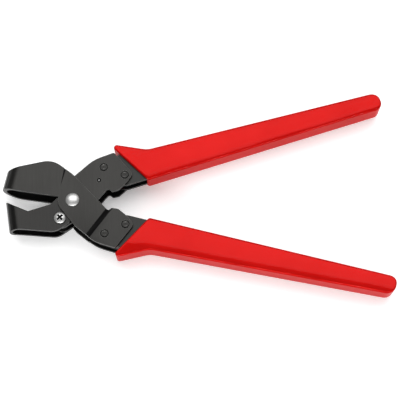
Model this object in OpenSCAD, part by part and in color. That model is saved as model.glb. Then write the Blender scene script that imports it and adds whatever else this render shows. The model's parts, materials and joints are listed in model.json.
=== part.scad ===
// Notching pliers: a U-bent punch on one lever cuts a rectangular notch against a U-bent die
// on the other. The tool lies on its side, +X towards the handles and +Z along the pivot axis.
// Outlines are drawn round the pivot at [0, 0]; place() then moves the whole tool so that the
// origin lies under the middle of its box, on the surface that it rests on.

/* [Jaws] */
// Distance from the pivot to the outside of the die's nose
nose_reach = 46; // [45:0.1:46.5]
// Width of the notch, which is the outside width of the punch
punch_w = 16; // [14:0.5:18]
// Clearance between punch and die on each side
shear_gap = 0.15; // [0.1:0.05:0.3]
// Wall thickness of the punch blade
blade_t = 2; // [1.6:0.1:2.4]
// Wall thickness of the die's nose
nose_t = 2.8; // [2.4:0.1:3]

/* [Plates] */
// Thickness of the stamped plates
plate_t = 2; // [1.6:0.1:2.4]
// Radius of the round boss at the pivot
boss_r = 9.3; // [9:0.1:9.4]
// Length over which a die plate steps down to its handle
joggle_run = 2.6; // [2:0.1:3.2]
// Diameter of the handle rivets
rivet_d = 5; // [4:0.1:5.4]

/* [Pivot] */
// Diameter of the pivot rivet
pin_d = 6; // [5:0.1:6.2]
// Diameter of its heads
head_d = 8.8; // [8:0.1:10]
// Height of its front head
head_h = 2; // [1.5:0.1:2.4]
// Thickness of each thrust washer between the levers
washer_t = 0.5; // [0.3:0.05:0.8]
// Wire diameter of the opening spring
wire_d = 1.3; // [1:0.1:1.4]
// Full turns of the opening spring's coil
coil_turns = 3; // [2:1:3]

/* [Blade screw] */
// Diameter of the screw's pan head
screw_head_d = 7.5; // [7:0.1:7.6]
// Height of the screw's head
screw_head_h = 2.4; // [1.8:0.1:2.6]
// Diameter of the screw's thread
screw_d = 4; // [3:0.5:4]

/* [Handles] */
// Angle of each handle to the tool's long axis with the jaws open
handle_angle = 14.5; // [14:0.1:15]
// Distance from the pivot to a grip's end, along the handle
grip_reach = 211; // [190:1:230]
// Thickness of a grip
grip_t = 16.4; // [15.6:0.2:18]
// Width of a grip where it is straight, next to its flare
grip_front_w = 20.4; // [19.6:0.1:21.4]
// Width of a grip at its end
grip_end_w = 11.8; // [11.2:0.1:13]

/* [Motion] */
// Angle that the levers turn through from open to closed
closing_angle = 24; // [20:0.5:24]

/* [Hidden] */
$fn = 64;

burnished = "#4a4a47";
bright = "#d8d8d8";
zinc = "#b8b8b8";
red = "#d81818";

// Layers, as half widths about the tool's middle plane
die_in = punch_w / 2 + shear_gap;
die_out = die_in + plate_t;
washer_play = 0.05;
lever_out = die_in - washer_t - 2 * washer_play;
lever_in = lever_out - plate_t;
tongue_out = punch_w / 2 - blade_t;
tongue_in = tongue_out - plate_t;

// Small fits
running_gap = 0.05;
loose_gap = 0.1;
press_gap = 0.02;
through = 50;

// The levers' outlines share this end, which is drawn for the upper one: [x, y, corner radius].
// The closing stop is a flat on the line through the pivot, half the closing angle from the
// tool's axis, and stop_play degrees short of it.
stop_play = 0.2;
stop_angle = closing_angle / 2 + stop_play;
stop_start = 25.4;
stop_end = 29.6;
lever_shoulder = [0.8, 16.6, 6];
lever_end = [[13.5, 27.4, 25],
             [26.6, 31.9, 1.5],
             [38.8, 16.9, 3.2],
             [34.6, 11.2, 8],
             [stop_end * cos(stop_angle), stop_end * sin(stop_angle), 1.5],
             [stop_start * cos(stop_angle), stop_start * sin(stop_angle), 1.2],
             [22.4, 7.6, 1.5]];

// Die: nose line, and the part of the boss that its outline follows up to the cutting edge
nose_low = [-nose_reach, 10.5];
nose_top = [-nose_reach + 2.9, 22.2];
nose_slant = atan2(nose_top[0] - nose_low[0], nose_top[1] - nose_low[1]);
boss_from = 228;
boss_to = 163.3;
boss_steps = 16;
boss_arc = [for (i = [0:boss_steps]) let (a = boss_from + (boss_to - boss_from) * i / boss_steps)
               [boss_r * cos(a), boss_r * sin(a), 0]];
crease_top = [-4.6, 21.4];
crease_lean = 14;
crease_depth = 0.7;
crease_rise = 3.2;

// Die plate: the line where it steps down, and how far it lies from the pivot
joggle_angle = -38.3;
joggle_at = 19.9;

// Punch: tip of the nose, bottom of the V, and nose line. The tip passes nose_gap inside the
// die's nose when it meets the cutting edge.
nose_gap = 0.6;
die_nose_in = nose_reach - nose_t / cos(nose_slant);
tip_r = norm([die_nose_in - nose_gap, nose_low[1]]);
tip_y = 2.2;
punch_tip = [-sqrt(tip_r * tip_r - tip_y * tip_y), tip_y];
punch_heel = [-41.2, -18.1];
punch_slant = atan2(punch_tip[0] - punch_heel[0], punch_tip[1] - punch_heel[1]);
v_bottom = [-28.6, -5.8];

// Fasteners' places
screw_at = [-8.1, -11.2];
sleeve_od = 5.6;
sleeve_head_h = 1.6;
inner_rivet_at = [19.9, 22.1];
outer_rivet_at = [33.3, 16.5];
hook_at = [16.8, 13.4];
hook_hole_d = 2.6;

// Handles, along and across the handle from the pivot: [u, v, corner radius]
flare_tip = [31.7, 31.5, 1.9];
mouth_inner = [50, 0, 2];
straight_from = 55;
grip_outer_start = mouth_inner[1] + grip_front_w;
grip_end_v = 3.9;
grip_outline = [flare_tip,
                [straight_from, grip_outer_start, 14],
                [grip_reach, grip_end_v + grip_end_w, 6],
                [grip_reach, grip_end_v, 5],
                mouth_inner];
end_wall = 4;
core_outline = [[19.5, 15.5, 2],
                [27.5, 3.5, 2],
                [36, 1, 4],
                [grip_reach - end_wall, grip_end_v + 1.6, 3],
                [grip_reach - end_wall, grip_end_v + grip_end_w - 1.7, 3],
                [straight_from + 1, grip_outer_start - 1.8, 10],
                [34, 22.6, 3],
                [21, 21.5, 2]];
web_t = 2;

// Opening spring
bush_wall = 1;
coil_r = pin_d / 2 + bush_wall + wire_d / 2 + 0.3;
coil_pitch = wire_d + 0.2;
leg_bearing = [23.5, -20.5];
ring_step = 20;
wire_sides = 8;

function unit(v) = v / norm(v);
function plan(p) = [p[0], p[1]];
function flipped(pts) = [for (i = [len(pts) - 1:-1:0]) [pts[i][0], -pts[i][1], pts[i][2]]];

// Arc that rounds the corner p between the neighbouring corners a and b
function rounded_corner(a, p, b) =
    let (to_a = unit(plan(a) - plan(p)), to_b = unit(plan(b) - plan(p)), r = p[2],
         half = acos(to_a * to_b) / 2,
         c = plan(p) + unit(to_a + to_b) * r / sin(half),
         first = plan(p) + to_a * r / tan(half) - c,
         last = plan(p) + to_b * r / tan(half) - c,
         start = atan2(first[1], first[0]),
         sweep = (atan2(last[1], last[0]) - start + 540) % 360 - 180,
         steps = max(2, ceil(abs(sweep) / 8)))
    [for (i = [0:steps]) c + r * [cos(start + sweep * i / steps), sin(start + sweep * i / steps)]];

// Closed outline with every corner rounded to its own radius
function outline(pts) =
    let (n = len(pts))
    [for (i = [0:n - 1])
        each pts[i][2] > 0 ? rounded_corner(pts[(i + n - 1) % n], pts[i], pts[(i + 1) % n])
                           : [plan(pts[i])]];

// A handle's point in the tool's plan
function turned(p) = [p[0] * cos(handle_angle) - p[1] * sin(handle_angle),
                      p[0] * sin(handle_angle) + p[1] * cos(handle_angle)];

// Outline of the die lever's plates
die_outline = concat(
    [[-34, 7.2, 60], [nose_low[0], nose_low[1], 0.4], [nose_top[0], nose_top[1], 2],
     [-12.7, 27.6, 14], [0.4, 17.1, 20]],
    flipped(lever_end),
    [[lever_shoulder[0], -lever_shoulder[1], lever_shoulder[2]]], boss_arc);

// The tool's box: its middle along X, and how far the pivot's middle plane stands up
tip_x = max([for (p = outline(grip_outline)) turned(p)[0]]);
nose_x = min([for (p = outline(die_outline)) p[0]]);
mid_x = (tip_x + nose_x) / 2;
rear_head_h = 1.3;
stand_h = die_out + rear_head_h;

module place() {
    translate([-mid_x, 0, stand_h]) children();
}

module slab(low, high) {
    translate([0, 0, low]) linear_extrude(high - low) children();
}

module both_sides() {
    children();
    mirror([0, 0, 1]) children();
}

module drill(at, d) {
    translate([at[0], at[1], -through]) cylinder(d = d, h = 2 * through);
}

// Block whose left end is a full round, along the line through corner that leans by slant
// degrees from the Y axis; the end lies inset from that line
module nose_block(corner, slant, half_w, inset) {
    length = 110;
    bend_r = half_w - 0.1;
    profile = [[inset, -half_w, bend_r], [length, -half_w, 0], [length, half_w, 0], [inset, half_w, bend_r]];
    translate([corner[0], corner[1], 0]) rotate([0, 0, -slant])
        translate([0, length / 2, 0]) rotate([90, 0, 0]) linear_extrude(length) polygon(outline(profile));
}

// ---- Die lever -------------------------------------------------------------------------

// Block that narrows from half width wide to half width narrow, from distance at to the end of
// the joggle; before the joggle it is wider than wide, so that a nose block sets its width
module stepped_block(wide, narrow, at) {
    reach = 90;
    extra = 1;
    early = at - extra * joggle_run / (wide - narrow);
    side = [[early, wide + extra], [at + joggle_run, narrow], [reach, narrow]];
    rotate([0, 0, joggle_angle]) translate([joggle_at, reach, 0]) rotate([90, 0, 0])
        linear_extrude(2 * reach)
            polygon(concat([[-reach, wide + extra]], side,
                           [for (i = [2:-1:0]) [side[i][0], -side[i][1]]], [[-reach, -wide - extra]]));
}

// Line pressed into a die plate beside the pivot, deep at the back and running out forwards
module crease() {
    length = 14;
    translate([crease_top[0], crease_top[1], die_out]) rotate([0, 0, -crease_lean])
        rotate([-crease_rise, 0, 0]) translate([0, 0, -crease_depth]) rotate([0, -45, 0])
            translate([0, -length, 0]) cube([2, length + 4, 2]);
}

module die_frame() {
    color(burnished) difference() {
        intersection() {
            slab(-through, through) polygon(outline(die_outline));
            stepped_block(die_out, lever_out, plate_t * 0.4);
            nose_block(nose_low, nose_slant, die_out, 0);
        }
        intersection() {
            stepped_block(die_in, lever_in, 0);
            nose_block(nose_low, nose_slant, die_in, nose_t);
        }
        both_sides() crease();
        drill([0, 0], pin_d + 2 * press_gap);
        for (at = [inner_rivet_at, outer_rivet_at])
            drill([at[0], -at[1]], rivet_d + 2 * loose_gap);
    }
}

// ---- Punch lever -----------------------------------------------------------------------

// Outer layer: the arm to the handle, the boss, and an ear that stops the jaws opening further
module arm_plan() {
    circle(r = boss_r - 0.3);
    polygon(outline(concat(
        [[-5.5, 7, 0], lever_shoulder], lever_end,
        [[12.6, -3.4, 4], [12.2, -17.6, 1.5], [9.6, -18.8, 1.5], [-2, -8.5, 0]])));
}

// Inner layer: the tongue that carries the blade
module tongue_plan() {
    circle(r = boss_r - 0.7);
    polygon(outline([[-8, 2, 0], [-16.5, -4.4, 2], [-16.5, -14, 4], [-7, -17.6, 5],
                     [1.5, -12.6, 4], [8, -3, 2]]));
}

module lever_plate() {
    difference() {
        union() {
            slab(lever_in, lever_out) arm_plan();
            slab(tongue_in, tongue_out) tongue_plan();
        }
        drill([0, 0], pin_d + 2 * running_gap);
        drill(screw_at, sleeve_od + 2 * loose_gap);
        drill(hook_at, hook_hole_d);
        for (at = [inner_rivet_at, outer_rivet_at]) drill(at, rivet_d + 2 * loose_gap);
    }
}

module front_lever_plate() {
    color(burnished) lever_plate();
}

module rear_lever_plate() {
    color(burnished) mirror([0, 0, 1]) lever_plate();
}

module punch_plan() {
    difference() {
        polygon(outline([[punch_tip[0], punch_tip[1], 0], [-38, -1.5, 12], [v_bottom[0], v_bottom[1], 0.6],
                         [-14, -1.7, 1], [-9, 3.2, 0], [-3, -6, 0], [-0.9, -13.4, 2.5],
                         [-11, -20, 10], [-36, -17.2, 20], [punch_heel[0], punch_heel[1], 0.5]]));
        circle(r = boss_r + 0.35);
    }
}

module punch_blade() {
    color(burnished) difference() {
        intersection() {
            slab(-through, through) punch_plan();
            nose_block(punch_heel, punch_slant, punch_w / 2, 0);
        }
        nose_block(punch_heel, punch_slant, punch_w / 2 - blade_t, blade_t);
        drill(screw_at, screw_d + 0.3);
        translate([screw_at[0], screw_at[1], -through])
            cylinder(d = sleeve_od + 2 * loose_gap, h = through);
    }
}

// Pan-head screw with a cross recess, from the front
module blade_screw() {
    recess = 4.6;
    recess_w = 1.2;
    recess_depth = 1.4;
    rim = screw_head_h * 0.45;
    turn = 40;
    dome_r = (pow(screw_head_d / 2, 2) + pow(screw_head_h - rim, 2)) / (2 * (screw_head_h - rim));
    color(zinc) translate([screw_at[0], screw_at[1], punch_w / 2]) difference() {
        union() {
            intersection() {
                cylinder(d = screw_head_d, h = screw_head_h);
                translate([0, 0, screw_head_h - dome_r]) sphere(r = dome_r);
            }
            cylinder(d = screw_head_d, h = rim);
            translate([0, 0, -punch_w * 0.75]) cylinder(d = screw_d, h = punch_w * 0.75);
        }
        for (a = [turn, turn + 90]) rotate([0, 0, a])
            translate([-recess / 2, -recess_w / 2, screw_head_h - recess_depth])
                cube([recess, recess_w, 2 * recess_depth]);
    }
}

// Threaded sleeve with a slotted head, from the back
module blade_sleeve_nut() {
    slot_w = 1.2;
    slot_depth = 0.9;
    low = -punch_w / 2 - sleeve_head_h;
    color(zinc) translate([screw_at[0], screw_at[1], 0]) difference() {
        union() {
            translate([0, 0, low]) cylinder(d = screw_head_d - 0.3, h = sleeve_head_h);
            translate([0, 0, -punch_w / 2]) cylinder(d = sleeve_od, h = punch_w / 2 + tongue_out - 0.1);
        }
        translate([0, 0, low + slot_depth + 1]) cylinder(d = screw_d + 0.1, h = through);
        translate([-screw_head_d, -slot_w / 2, low - 1]) cube([2 * screw_head_d, slot_w, 1 + slot_depth]);
    }
}

// ---- Pivot -----------------------------------------------------------------------------

// Low domed head on a thin rim, standing on z = 0
module domed_head(d, h) {
    rim = 0.5;
    dome_r = (d * d / 4 + pow(h - rim, 2)) / (2 * (h - rim));
    cylinder(d = d, h = rim);
    intersection() {
        cylinder(d = d, h = h);
        translate([0, 0, h - dome_r]) sphere(r = dome_r);
    }
}

module pivot_rivet() {
    color(bright) {
        translate([0, 0, -die_out]) cylinder(d = pin_d, h = 2 * die_out);
        translate([0, 0, die_out]) domed_head(head_d, head_h);
        mirror([0, 0, 1]) translate([0, 0, die_out]) domed_head(head_d, rear_head_h);
    }
}

module ring(inner_d, outer_d, low, high) {
    translate([0, 0, low]) difference() {
        cylinder(d = outer_d, h = high - low);
        translate([0, 0, -1]) cylinder(d = inner_d, h = high - low + 2);
    }
}

module pivot_bush() {
    half = tongue_in - loose_gap;
    color(zinc) ring(pin_d + 4 * running_gap, pin_d + 2 * bush_wall, -half, half);
}

module thrust_washer() {
    ring(pin_d + 4 * running_gap, 2 * boss_r - 5, lever_out + washer_play, die_in - washer_play);
}

module front_thrust_washer() {
    color(zinc) thrust_washer();
}

module rear_thrust_washer() {
    color(zinc) mirror([0, 0, 1]) thrust_washer();
}

// ---- Opening spring --------------------------------------------------------------------

// Where a straight leg that ends at p touches the coil; side is +1 or -1
function tangent_at(p, side) = atan2(p[1], p[0]) + side * acos(coil_r / norm(plan(p)));

coil_start = tangent_at(hook_at, 1);
coil_sweep = (tangent_at(leg_bearing, -1) - coil_start + 720) % 360 + 360 * coil_turns;
coil_top = coil_pitch * coil_sweep / 720;
hook_top = lever_out - 0.3;
hook_bend = 0.8;

// The wire's centre line: hook in the upper lever, leg, coil, and leg to the lower lever
spring_path = concat(
    [[hook_at[0], hook_at[1], hook_top],
     [hook_at[0], hook_at[1], coil_top + 2 * hook_bend],
     [hook_at[0] - 0.3 * hook_bend, hook_at[1] - 0.2 * hook_bend, coil_top + 0.6 * hook_bend],
     [hook_at[0] - 1.4 * hook_bend, hook_at[1] - 0.8 * hook_bend, coil_top]],
    [for (a = [0:ring_step:coil_sweep])
        [coil_r * cos(coil_start + a), coil_r * sin(coil_start + a), coil_top - coil_pitch * a / 360]],
    [[coil_r * cos(coil_start + coil_sweep), coil_r * sin(coil_start + coil_sweep), -coil_top],
     [leg_bearing[0], leg_bearing[1], -coil_top]]);

function heading(path, i) = unit(path[min(i + 1, len(path) - 1)] - path[max(i - 1, 0)]);

// Side direction of each ring, carried along the path without twist
function sides(path, i = 0, last = [1, 0, 0]) =
    i == len(path) ? []
    : let (t = heading(path, i), n = unit(last - (last * t) * t))
      concat([n], sides(path, i + 1, n));

module wire(path, d) {
    n = len(path);
    side = sides(path);
    points = [for (i = [0:n - 1]) let (up = cross(heading(path, i), side[i]))
                for (k = [0:wire_sides - 1])
                    path[i] + d / 2 * (cos(360 * k / wire_sides) * side[i]
                                       + sin(360 * k / wire_sides) * up)];
    walls = [for (i = [0:n - 2]) for (k = [0:wire_sides - 1])
                [i * wire_sides + k, (i + 1) * wire_sides + k,
                 (i + 1) * wire_sides + (k + 1) % wire_sides, i * wire_sides + (k + 1) % wire_sides]];
    ends = [[for (k = [0:wire_sides - 1]) k],
            [for (k = [wire_sides - 1:-1:0]) (n - 1) * wire_sides + k]];
    polyhedron(points, concat(walls, ends));
}

module opening_spring() {
    color(zinc) wire(spring_path, wire_d);
}

// ---- Handles ---------------------------------------------------------------------------

// Upper handle's place; the lower one is its mirror image
module on_handle(upper) {
    mirror([0, upper ? 0 : 1, 0]) rotate([0, 0, handle_angle]) children();
}

// Channel with its web along the outer edge, open towards the other handle
module handle_core() {
    difference() {
        slab(-lever_in, lever_in) polygon(outline(core_outline));
        slab(-lever_in + web_t, lever_in - web_t) translate([0, -web_t]) polygon(outline(core_outline));
        for (at = [inner_rivet_at, outer_rivet_at])
            rotate([0, 0, -handle_angle]) drill(at, rivet_d + 2 * loose_gap);
    }
}

module upper_handle_core() {
    color(burnished) on_handle(true) handle_core();
}

module lower_handle_core() {
    color(burnished) on_handle(false) handle_core();
}

// Flush rivet with chamfered ends
module handle_rivet(at) {
    chamfer = 0.35;
    length = 2 * lever_out - 0.1;
    color(burnished) translate([at[0], at[1], -length / 2]) {
        cylinder(d1 = rivet_d - 2 * chamfer, d2 = rivet_d, h = chamfer);
        translate([0, 0, chamfer]) cylinder(d = rivet_d, h = length - 2 * chamfer);
        translate([0, 0, length - chamfer]) cylinder(d1 = rivet_d, d2 = rivet_d - 2 * chamfer, h = chamfer);
    }
}

module grip() {
    difference() {
        slab(-grip_t / 2, grip_t / 2) polygon(outline(grip_outline));
        slab(-lever_in, lever_in) polygon(outline(core_outline));
    }
}

module upper_grip() {
    color(red) on_handle(true) grip();
}

module lower_grip() {
    color(red) on_handle(false) grip();
}

place() die_frame();
place() front_lever_plate();
place() rear_lever_plate();
place() punch_blade();
place() blade_screw();
place() blade_sleeve_nut();
place() pivot_rivet();
place() pivot_bush();
place() front_thrust_washer();
place() rear_thrust_washer();
place() opening_spring();
place() upper_handle_core();
place() lower_handle_core();
place() handle_rivet(inner_rivet_at);  // upper_inner_rivet
place() handle_rivet(outer_rivet_at);  // upper_outer_rivet
place() handle_rivet([inner_rivet_at[0], -inner_rivet_at[1]]);  // lower_inner_rivet
place() handle_rivet([outer_rivet_at[0], -outer_rivet_at[1]]);  // lower_outer_rivet
place() upper_grip();
place() lower_grip();
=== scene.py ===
import json
import math

import bmesh
import bpy
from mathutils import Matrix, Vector


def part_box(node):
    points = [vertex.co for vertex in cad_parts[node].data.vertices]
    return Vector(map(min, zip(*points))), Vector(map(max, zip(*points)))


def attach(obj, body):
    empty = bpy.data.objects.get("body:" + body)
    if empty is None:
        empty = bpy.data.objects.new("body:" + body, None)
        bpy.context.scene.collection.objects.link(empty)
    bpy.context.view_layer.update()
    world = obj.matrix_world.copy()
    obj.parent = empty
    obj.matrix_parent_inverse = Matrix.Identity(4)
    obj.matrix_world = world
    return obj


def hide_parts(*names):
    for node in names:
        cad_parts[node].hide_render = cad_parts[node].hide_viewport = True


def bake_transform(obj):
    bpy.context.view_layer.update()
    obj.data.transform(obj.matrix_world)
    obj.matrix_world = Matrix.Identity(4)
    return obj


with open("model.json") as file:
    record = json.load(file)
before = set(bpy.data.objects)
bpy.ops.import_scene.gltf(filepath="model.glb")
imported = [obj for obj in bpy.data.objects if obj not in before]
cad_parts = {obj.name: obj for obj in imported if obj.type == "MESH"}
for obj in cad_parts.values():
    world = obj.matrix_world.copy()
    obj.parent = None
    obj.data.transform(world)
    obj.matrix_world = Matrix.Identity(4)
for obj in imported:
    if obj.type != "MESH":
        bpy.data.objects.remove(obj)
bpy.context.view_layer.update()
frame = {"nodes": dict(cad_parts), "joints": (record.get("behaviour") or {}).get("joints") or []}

MM = 0.001
PIVOT = Vector(frame["joints"][0]["pos_m"])
HANDLE_ANGLE = math.radians(14.5)
DIE_LEVER = "die_lever"
PUNCH_LEVER = "punch_lever"


# ---- Shader building ---------------------------------------------------------------------

class Number:
    """A shader value that varies over a surface; arithmetic on it adds Math nodes."""

    def __init__(self, finish, socket):
        self.finish = finish
        self.socket = socket

    def maths(self, operation, first, second):
        return self.finish.node("ShaderNodeMath", {"operation": operation}, {0: first, 1: second})

    def __add__(self, other):
        return self.maths("ADD", self, other)

    def __mul__(self, other):
        return self.maths("MULTIPLY", self, other)

    __radd__ = __add__
    __rmul__ = __mul__


class Finish:
    """A material under construction."""

    def __init__(self, name):
        self.material = bpy.data.materials.new(name)
        self.material.use_nodes = True
        self.tree = self.material.node_tree
        self.tree.nodes.clear()
        self.place = self.node("ShaderNodeTexCoord", {}, {}, "Object")

    def node(self, kind, settings, inputs, output=0):
        """Adds a node, makes its settings, then fills its sockets with values or links."""
        made = self.tree.nodes.new(kind)
        for name, value in settings.items():
            if name == "stops":
                ramp = made.color_ramp.elements
                while len(ramp) < len(value):
                    ramp.new(0.5)
                for stop, (position, colour) in zip(ramp, value):
                    stop.position = position
                    stop.color = (*colour, 1)
            else:
                setattr(made, name, value)
        for name, value in inputs.items():
            if isinstance(value, Number):
                self.tree.links.new(value.socket, made.inputs[name])
            else:
                made.inputs[name].default_value = value
        return Number(self, made.outputs[output]) if made.outputs else None

    def noise(self, scale, detail=3.0, roughness=0.55, stretch=(1, 1, 1), turn=0.0):
        """Cloudy value around 0.5; scale is in features per metre before the stretch."""
        where = self.node("ShaderNodeMapping", {},
                          {"Vector": self.place, "Scale": stretch, "Rotation": (0, 0, turn)})
        return self.node("ShaderNodeTexNoise", {},
                         {"Vector": where, "Scale": scale, "Detail": detail, "Roughness": roughness})

    def ramp(self, value, stops):
        """Colours along a value."""
        return self.node("ShaderNodeValToRGB", {"stops": stops}, {"Fac": value}, "Color")

    def bump(self, height, distance, strength=1.0):
        """Surface normal from a height between 0 and 1 that stands for distance metres."""
        return self.node("ShaderNodeBump", {},
                         {"Height": height, "Distance": distance, "Strength": strength}, "Normal")

    def surface(self, **sockets):
        """Finishes the material with one Principled shader; underscores in names are spaces."""
        inputs = {name.replace("_", " "): value for name, value in sockets.items()}
        shader = self.node("ShaderNodeBsdfPrincipled", {}, inputs, "BSDF")
        self.node("ShaderNodeOutputMaterial", {}, {"Surface": shader})
        return self.material


# ---- Finishes ----------------------------------------------------------------------------

def burnished_steel(name, dark, light, roughness):
    """Blackened plate: cloudy oxide, fine rolling lines and a faint grain."""
    finish = Finish(name)
    clouds = finish.noise(45, 4)
    lines = finish.noise(900, 2, stretch=(1, 0.06, 0.3), turn=math.radians(8))
    grain = finish.noise(2600, 2)
    tone = clouds * 0.6 + lines * 0.4
    colour = finish.ramp(tone, [(0.3, dark), (0.7, light)])
    return finish.surface(Base_Color=colour, Metallic=1.0,
                          Roughness=tone * 0.16 + (roughness - 0.08),
                          Normal=finish.bump(lines * 0.5 + grain * 0.5, 0.02 * MM, 0.5))


def edge_wear_and_highlight(name, colour):
    """Burnish rubbed thin along an edge, much lighter than the plate: partly wear, partly a painted
    highlight on broken edges and rivet rings.
    """
    finish = Finish(name)
    patches = finish.noise(350, 3)
    tones = [(0.35, [part * 0.55 for part in colour]), (0.65, colour)]
    return finish.surface(Base_Color=finish.ramp(patches, tones), Metallic=1.0,
                          Roughness=patches * 0.2 + 0.22)


def bright_steel(name, colour, roughness):
    """Polished or plated steel with faint turning marks."""
    finish = Finish(name)
    marks = finish.noise(1400, 2)
    soft = finish.noise(160, 2)
    tones = [(0.3, [part * 0.93 for part in colour]), (0.7, colour)]
    return finish.surface(Base_Color=finish.ramp(soft, tones), Metallic=1.0,
                          Roughness=soft * 0.1 + (roughness - 0.05),
                          Normal=finish.bump(marks, 0.01 * MM, 0.4))


def dipped_plastic(name, deep, bright):
    """Soft plastic with a slight orange-peel skin.

    The part of metal and the low specular level hold back the pale floor's pink reflection.
    """
    finish = Finish(name)
    clouds = finish.noise(28, 3)
    skin = finish.noise(420, 2)
    specks = finish.noise(2400, 1)
    return finish.surface(Base_Color=finish.ramp(clouds, [(0.3, deep), (0.7, bright)]),
                          Roughness=clouds * 0.08 + 0.26, Metallic=0.3,
                          Specular_IOR_Level=0.02, Specular_Tint=(1, 0.1, 0.1, 1),
                          Coat_Weight=0.14, Coat_Roughness=0.06,
                          Normal=finish.bump(skin * 0.7 + specks * 0.3, 0.03 * MM, 0.35))


PLATE = burnished_steel("burnished_plate", (0.026, 0.0255, 0.0245), (0.035, 0.0345, 0.033), 0.36)
BLADE = burnished_steel("hardened_blade", (0.022, 0.0215, 0.021), (0.029, 0.0285, 0.0275), 0.34)
CORE = burnished_steel("pressed_channel", (0.024, 0.024, 0.023), (0.031, 0.031, 0.03), 0.38)
# Lighter edge steel: part wear, part painted highlight along broken edges and on the rivets' ring walls.
EDGE = edge_wear_and_highlight("rubbed_edge_and_painted_highlight", (0.11, 0.109, 0.105))
# Near-black painted shade for the pressed creases, the screw's cross recess and the gap round the flush
# rivets.
PAINTED_SHADE = bright_steel("recess_shadow", (0.01, 0.01, 0.01), 0.6)
POLISHED = bright_steel("polished_rivet", (0.6, 0.6, 0.59), 0.4)
TURNED = bright_steel("turned_steel", (0.5, 0.5, 0.49), 0.34)
SPRING_WIRE = bright_steel("spring_wire", (0.12, 0.12, 0.12), 0.4)
GRIP = dipped_plastic("red_dipped_plastic", (0.44, 0.003, 0.002), (0.5, 0.005, 0.004))


# ---- Mesh helpers ------------------------------------------------------------------------

def from_cad(node):
    """Copy of a CAD node as a merged mesh with its flat faces whole."""
    mesh = bmesh.new()
    mesh.from_mesh(frame["nodes"][node].data)
    bmesh.ops.remove_doubles(mesh, verts=mesh.verts, dist=0.001 * MM)
    bmesh.ops.dissolve_limit(mesh, angle_limit=math.radians(0.5), verts=mesh.verts, edges=mesh.edges)
    return mesh


def round_edges(mesh, edges, width, segments=2, material=1):
    """Rounds edges and gives the new faces a material slot."""
    made = bmesh.ops.bevel(mesh, geom=edges, offset=width, offset_type="OFFSET", segments=segments,
                           profile=0.5, affect="EDGES", clamp_overlap=False, material=-1)
    for face in made["faces"]:
        face.material_index = material


def edges_between(mesh, least, most=180):
    """Edges whose faces meet at an angle in this range of degrees."""
    return [edge for edge in mesh.edges if len(edge.link_faces) == 2
            and math.radians(least) < edge.calc_face_angle(0) <= math.radians(most)]


def add_piece(name, mesh, materials, body, stands_for, smooth=math.radians(40)):
    """Turns a bmesh into a shaded piece in place of CAD nodes; it rides on a body if one is given."""
    data = bpy.data.meshes.new(name)
    mesh.to_mesh(data)
    mesh.free()
    for material in materials:
        data.materials.append(material)
    data.shade_smooth()
    data.set_sharp_from_angle(angle=smooth)
    made = bpy.data.objects.new(name, data)
    bpy.context.scene.collection.objects.link(made)
    weighted = made.modifiers.new("flat_faces_stay_flat", "WEIGHTED_NORMAL")
    weighted.keep_sharp = True
    if body:
        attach(made, body)
    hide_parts(*stands_for)
    return made


def paint(node, material):
    data = frame["nodes"][node].data
    data.materials.clear()
    data.materials.append(material)


# ---- Steel parts -------------------------------------------------------------------------

SHARP = 55            # edges over this angle are broken
SLOPE = (0.6, 0.75)   # how far a pressed line's faces look up or down


def stamped_part(name, node, material, body, width):
    """A plate with its edges broken and painted lighter (part wear, part painted highlight), and its
    pressed lines painted near-black as painted shade.
    """
    mesh = from_cad(node)
    # Faces of a pressed line take the near-black slot: painted shade in the crease.
    for face in mesh.faces:
        pressed = SLOPE[0] < abs(face.normal.z) < SLOPE[1] and face.normal.xy.length > SLOPE[0]
        face.material_index = 2 if pressed else 0
    # Broken edges take the lighter edge slot: part wear, part painted highlight.
    outer = [edge for edge in edges_between(mesh, SHARP)
             if any(face.material_index == 0 for face in edge.link_faces)]
    round_edges(mesh, outer, width)
    add_piece(name, mesh, [material, EDGE, PAINTED_SHADE], body, [node])


stamped_part("die_shell", "die_frame", PLATE, DIE_LEVER, 0.22 * MM)
for side in ("front", "rear"):
    stamped_part(f"{side}_punch_plate", f"{side}_lever_plate", PLATE, PUNCH_LEVER,
                 0.2 * MM)
stamped_part("bent_blade", "punch_blade", BLADE, PUNCH_LEVER, 0.12 * MM)
for side, body in (("upper", PUNCH_LEVER), ("lower", DIE_LEVER)):
    stamped_part(f"{side}_channel", f"{side}_handle_core", CORE, body, 0.2 * MM)


# ---- Grips -------------------------------------------------------------------------------

# Grip outline, along and across the handle from the pivot, in millimetres
GRIP_MOUTH = 50
GRIP_STRAIGHT = 55
GRIP_REACH = 211
GRIP_END_INNER = 3.9
GRIP_END_OUTER = 15.7
GRIP_FRONT_OUTER = 20.4
FLARE_SLOPE = 0.6
GRIP_RIM = 1.2 * MM
GRIP_CROWN = 0.11


def handle_axes(upper):
    """Directions along and across a handle, away from the pivot and outwards."""
    turn = HANDLE_ANGLE if upper else -HANDLE_ANGLE
    along = Vector((math.cos(turn), math.sin(turn), 0))
    outwards = Vector((-math.sin(turn), math.cos(turn), 0)) * (1 if upper else -1)
    return along, outwards


def slice_by(mesh, normal, first, last, step):
    """Cuts the mesh by parallel planes, so that it can bend between them."""
    count = math.ceil((last - first) / step)
    for i in range(count + 1):
        cut = PIVOT + normal * (first + (last - first) * i / count)
        bmesh.ops.bisect_plane(mesh, geom=mesh.verts[:] + mesh.edges[:] + mesh.faces[:],
                               dist=0.0005 * MM, plane_co=cut, plane_no=normal)


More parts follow.
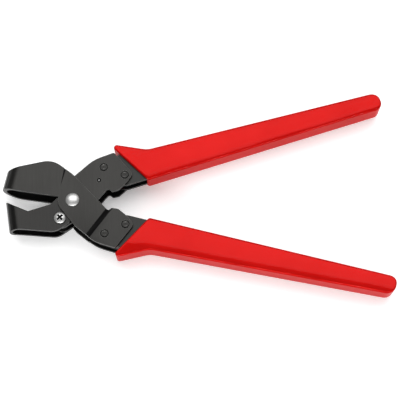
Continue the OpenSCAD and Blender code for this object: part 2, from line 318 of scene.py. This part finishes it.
def grip(name, node, upper, body):
    mesh = from_cad(node)
    low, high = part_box(node)
    half = (high.z - low.z) / 2

    def at_rim(edge):
        flat = [abs(face.normal.z) > 0.99 for face in edge.link_faces]
        outside = all(abs(abs(vertex.co.z - PIVOT.z) - half) < 0.01 * MM for vertex in edge.verts)
        return outside and sorted(flat) == [False, True]

    round_edges(mesh, [edge for edge in mesh.edges if at_rim(edge)], GRIP_RIM, 4, 0)
    along, outwards = handle_axes(upper)
    slice_by(mesh, along, 36 * MM, 208 * MM, 3 * MM)
    slice_by(mesh, outwards, 1.5 * MM, 19.5 * MM, 1.5 * MM)
    narrowing = (GRIP_FRONT_OUTER - GRIP_END_OUTER) / (GRIP_REACH - GRIP_STRAIGHT)
    rise = GRIP_END_INNER / (GRIP_REACH - GRIP_MOUTH)
    for vertex in mesh.verts:
        place = vertex.co - PIVOT
        u = place.dot(along) / MM
        v = place.dot(outwards) / MM
        inner = (u - GRIP_MOUTH) * rise
        flare = max(0, GRIP_MOUTH - u) * FLARE_SLOPE
        outer = GRIP_FRONT_OUTER - (u - GRIP_STRAIGHT) * narrowing + flare
        across = min(1, abs(2 * (v - inner) / (outer - inner) - 1))
        vertex.co.z = PIVOT.z + place.z * (1 - GRIP_CROWN * across ** 4)
    add_piece(name, mesh, [GRIP], body, [node], math.radians(50))


grip("upper_sleeve", "upper_grip", True, PUNCH_LEVER)
grip("lower_sleeve", "lower_grip", False, DIE_LEVER)


# ---- Rivets, screw, spring ---------------------------------------------------------------

def bright_part(name, node, body, width, dark=lambda face: False):
    """A polished fastener; faces that dark picks out lie in a recess and get the near-black painted shade.
    """
    mesh = from_cad(node)
    round_edges(mesh, edges_between(mesh, 35), width)
    for face in mesh.faces:
        face.material_index = 1 if dark(face) else 0
    add_piece(name, mesh, [POLISHED, PAINTED_SHADE], body, [node])


RECESS_DEPTH = 1.6 * MM
RECESS_FLOOR = 1.2 * MM
RECESS_REACH = 2.3 * MM


def in_cross_recess(face):
    """True below the screw's dome, inside the recess's reach: the faces painted near-black as painted
    shade.
    """
    low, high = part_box("blade_screw")
    axis = Vector(((low.x + high.x) / 2, (low.y + high.y) / 2, 0))
    place = face.calc_center_median()
    reach = math.hypot(place.x - axis.x, place.y - axis.y)
    return place.z > high.z - RECESS_DEPTH and reach < RECESS_REACH and (
        abs(face.normal.z) < 0.8 or place.z < high.z - RECESS_FLOOR)


def flush_rivet(name, node, body):
    """Rivet with a pressed ring and a small centre mark in each end; its ring walls are painted lighter as
    a painted highlight and its rim painted near-black as painted shade.
    """
    low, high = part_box(node)
    axis = (low + high) / 2
    half = (high.z - low.z) / 2
    end = [(0, -0.1), (0.45, -0.1), (0.65, 0), (1.15, 0), (1.27, -0.1), (1.5, -0.1), (1.62, 0),
           (2.12, 0), (2.4, -0.13), (2.5, -0.4)]
    profile = [(r * MM, half + z * MM) for r, z in end]
    profile += [(r, -z) for r, z in reversed(profile)]
    mesh = bmesh.new()
    chain = [mesh.verts.new((axis.x + r, axis.y, axis.z + z)) for r, z in profile]
    edges = [mesh.edges.new(pair) for pair in zip(chain, chain[1:])]
    bmesh.ops.spin(mesh, geom=chain + edges, cent=axis, axis=(0, 0, 1), angle=2 * math.pi,
                   steps=48, use_merge=True)
    bmesh.ops.remove_doubles(mesh, verts=mesh.verts, dist=0.001 * MM)
    bmesh.ops.recalc_face_normals(mesh, faces=mesh.faces)
    rim_from, ring_from = 2 * MM, 1.1 * MM
    # Ring walls take the lighter edge slot as a painted highlight; the rim and side take the near-black
    # painted shade of the gap round the rivet.
    for face in mesh.faces:
        reach = (face.calc_center_median() - axis).xy.length
        if abs(face.normal.z) < 0.99 and reach > ring_from:
            face.material_index = 2 if reach > rim_from else 1
    add_piece(name, mesh, [PLATE, EDGE, PAINTED_SHADE], body, [node], math.radians(25))


bright_part("domed_rivet", "pivot_rivet", DIE_LEVER, 0.15 * MM)
bright_part("cross_recess_screw", "blade_screw", PUNCH_LEVER, 0.15 * MM, in_cross_recess)
bright_part("slotted_sleeve", "blade_sleeve_nut", PUNCH_LEVER, 0.12 * MM)
for side, body in (("upper", PUNCH_LEVER), ("lower", DIE_LEVER)):
    for place in ("inner", "outer"):
        flush_rivet(f"{side}_{place}_flush_rivet", f"{side}_{place}_rivet", body)
for node in ("pivot_bush", "front_thrust_washer", "rear_thrust_washer"):
    paint(node, TURNED)


def wound_spring():
    """Copy of the spring, baked in place; it rides on neither lever."""
    mesh = from_cad("opening_spring")
    made = add_piece("wound_spring", mesh, [SPRING_WIRE], None, ["opening_spring"],
                     math.radians(60))
    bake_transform(made)


wound_spring()


# ---- Stage -------------------------------------------------------------------------------

def area_light(name, place, target, width, height, watts):
    data = bpy.data.lights.new(name, "AREA")
    data.shape = "RECTANGLE"
    data.size = width
    data.size_y = height
    data.energy = watts
    lamp = bpy.data.objects.new(name, data)
    lamp.location = place
    lamp.rotation_euler = (Vector(target) - Vector(place)).to_track_quat("-Z", "Y").to_euler()
    bpy.context.scene.collection.objects.link(lamp)


def pale_floor():
    mesh = bmesh.new()
    bmesh.ops.create_circle(mesh, cap_ends=True, segments=64, radius=3)
    data = bpy.data.meshes.new("floor")
    mesh.to_mesh(data)
    mesh.free()
    finish = Finish("pale_paper")
    tone = finish.noise(3, 2)
    data.materials.append(finish.surface(
        Base_Color=finish.ramp(tone, [(0.3, (0.93, 0.93, 0.93)), (0.7, (0.95, 0.95, 0.95))]),
        Roughness=0.8, Emission_Color=(1, 1, 1, 1), Emission_Strength=0.3))
    floor = bpy.data.objects.new("floor", data)
    bpy.context.scene.collection.objects.link(floor)
    return floor


def studio():
    world = bpy.data.worlds.new("soft_room")
    world.use_nodes = True
    world.node_tree.nodes["Background"].inputs["Color"].default_value = (1, 1, 1, 1)
    world.node_tree.nodes["Background"].inputs["Strength"].default_value = 0.3
    bpy.context.scene.world = world
    area_light("softbox_above", (0, 0.54, 1.05), (0, 0, 0), 1.7, 1.1, 15)
    area_light("strip_in_front", (0, -1.0, 0.6), (0, 0, 0), 1.8, 0.16, 10)
    bpy.context.scene.view_settings.view_transform = "Standard"


def camera():
    elevation = math.radians(73)
    azimuth = math.radians(-2)
    distance = 0.7335
    target = PIVOT + Vector((81.2, 0.1, 0)) * MM
    back = Vector((math.sin(azimuth) * math.cos(elevation),
                   -math.cos(azimuth) * math.cos(elevation), math.sin(elevation)))
    data = bpy.data.cameras.new("camera")
    data.lens = 102.3
    data.sensor_width = 36
    eye = bpy.data.objects.new("camera", data)
    eye.location = target + back * distance
    eye.rotation_euler = (-back).to_track_quat("-Z", "Y").to_euler()
    bpy.context.scene.collection.objects.link(eye)
    bpy.context.scene.camera = eye


pale_floor()
studio()
camera()
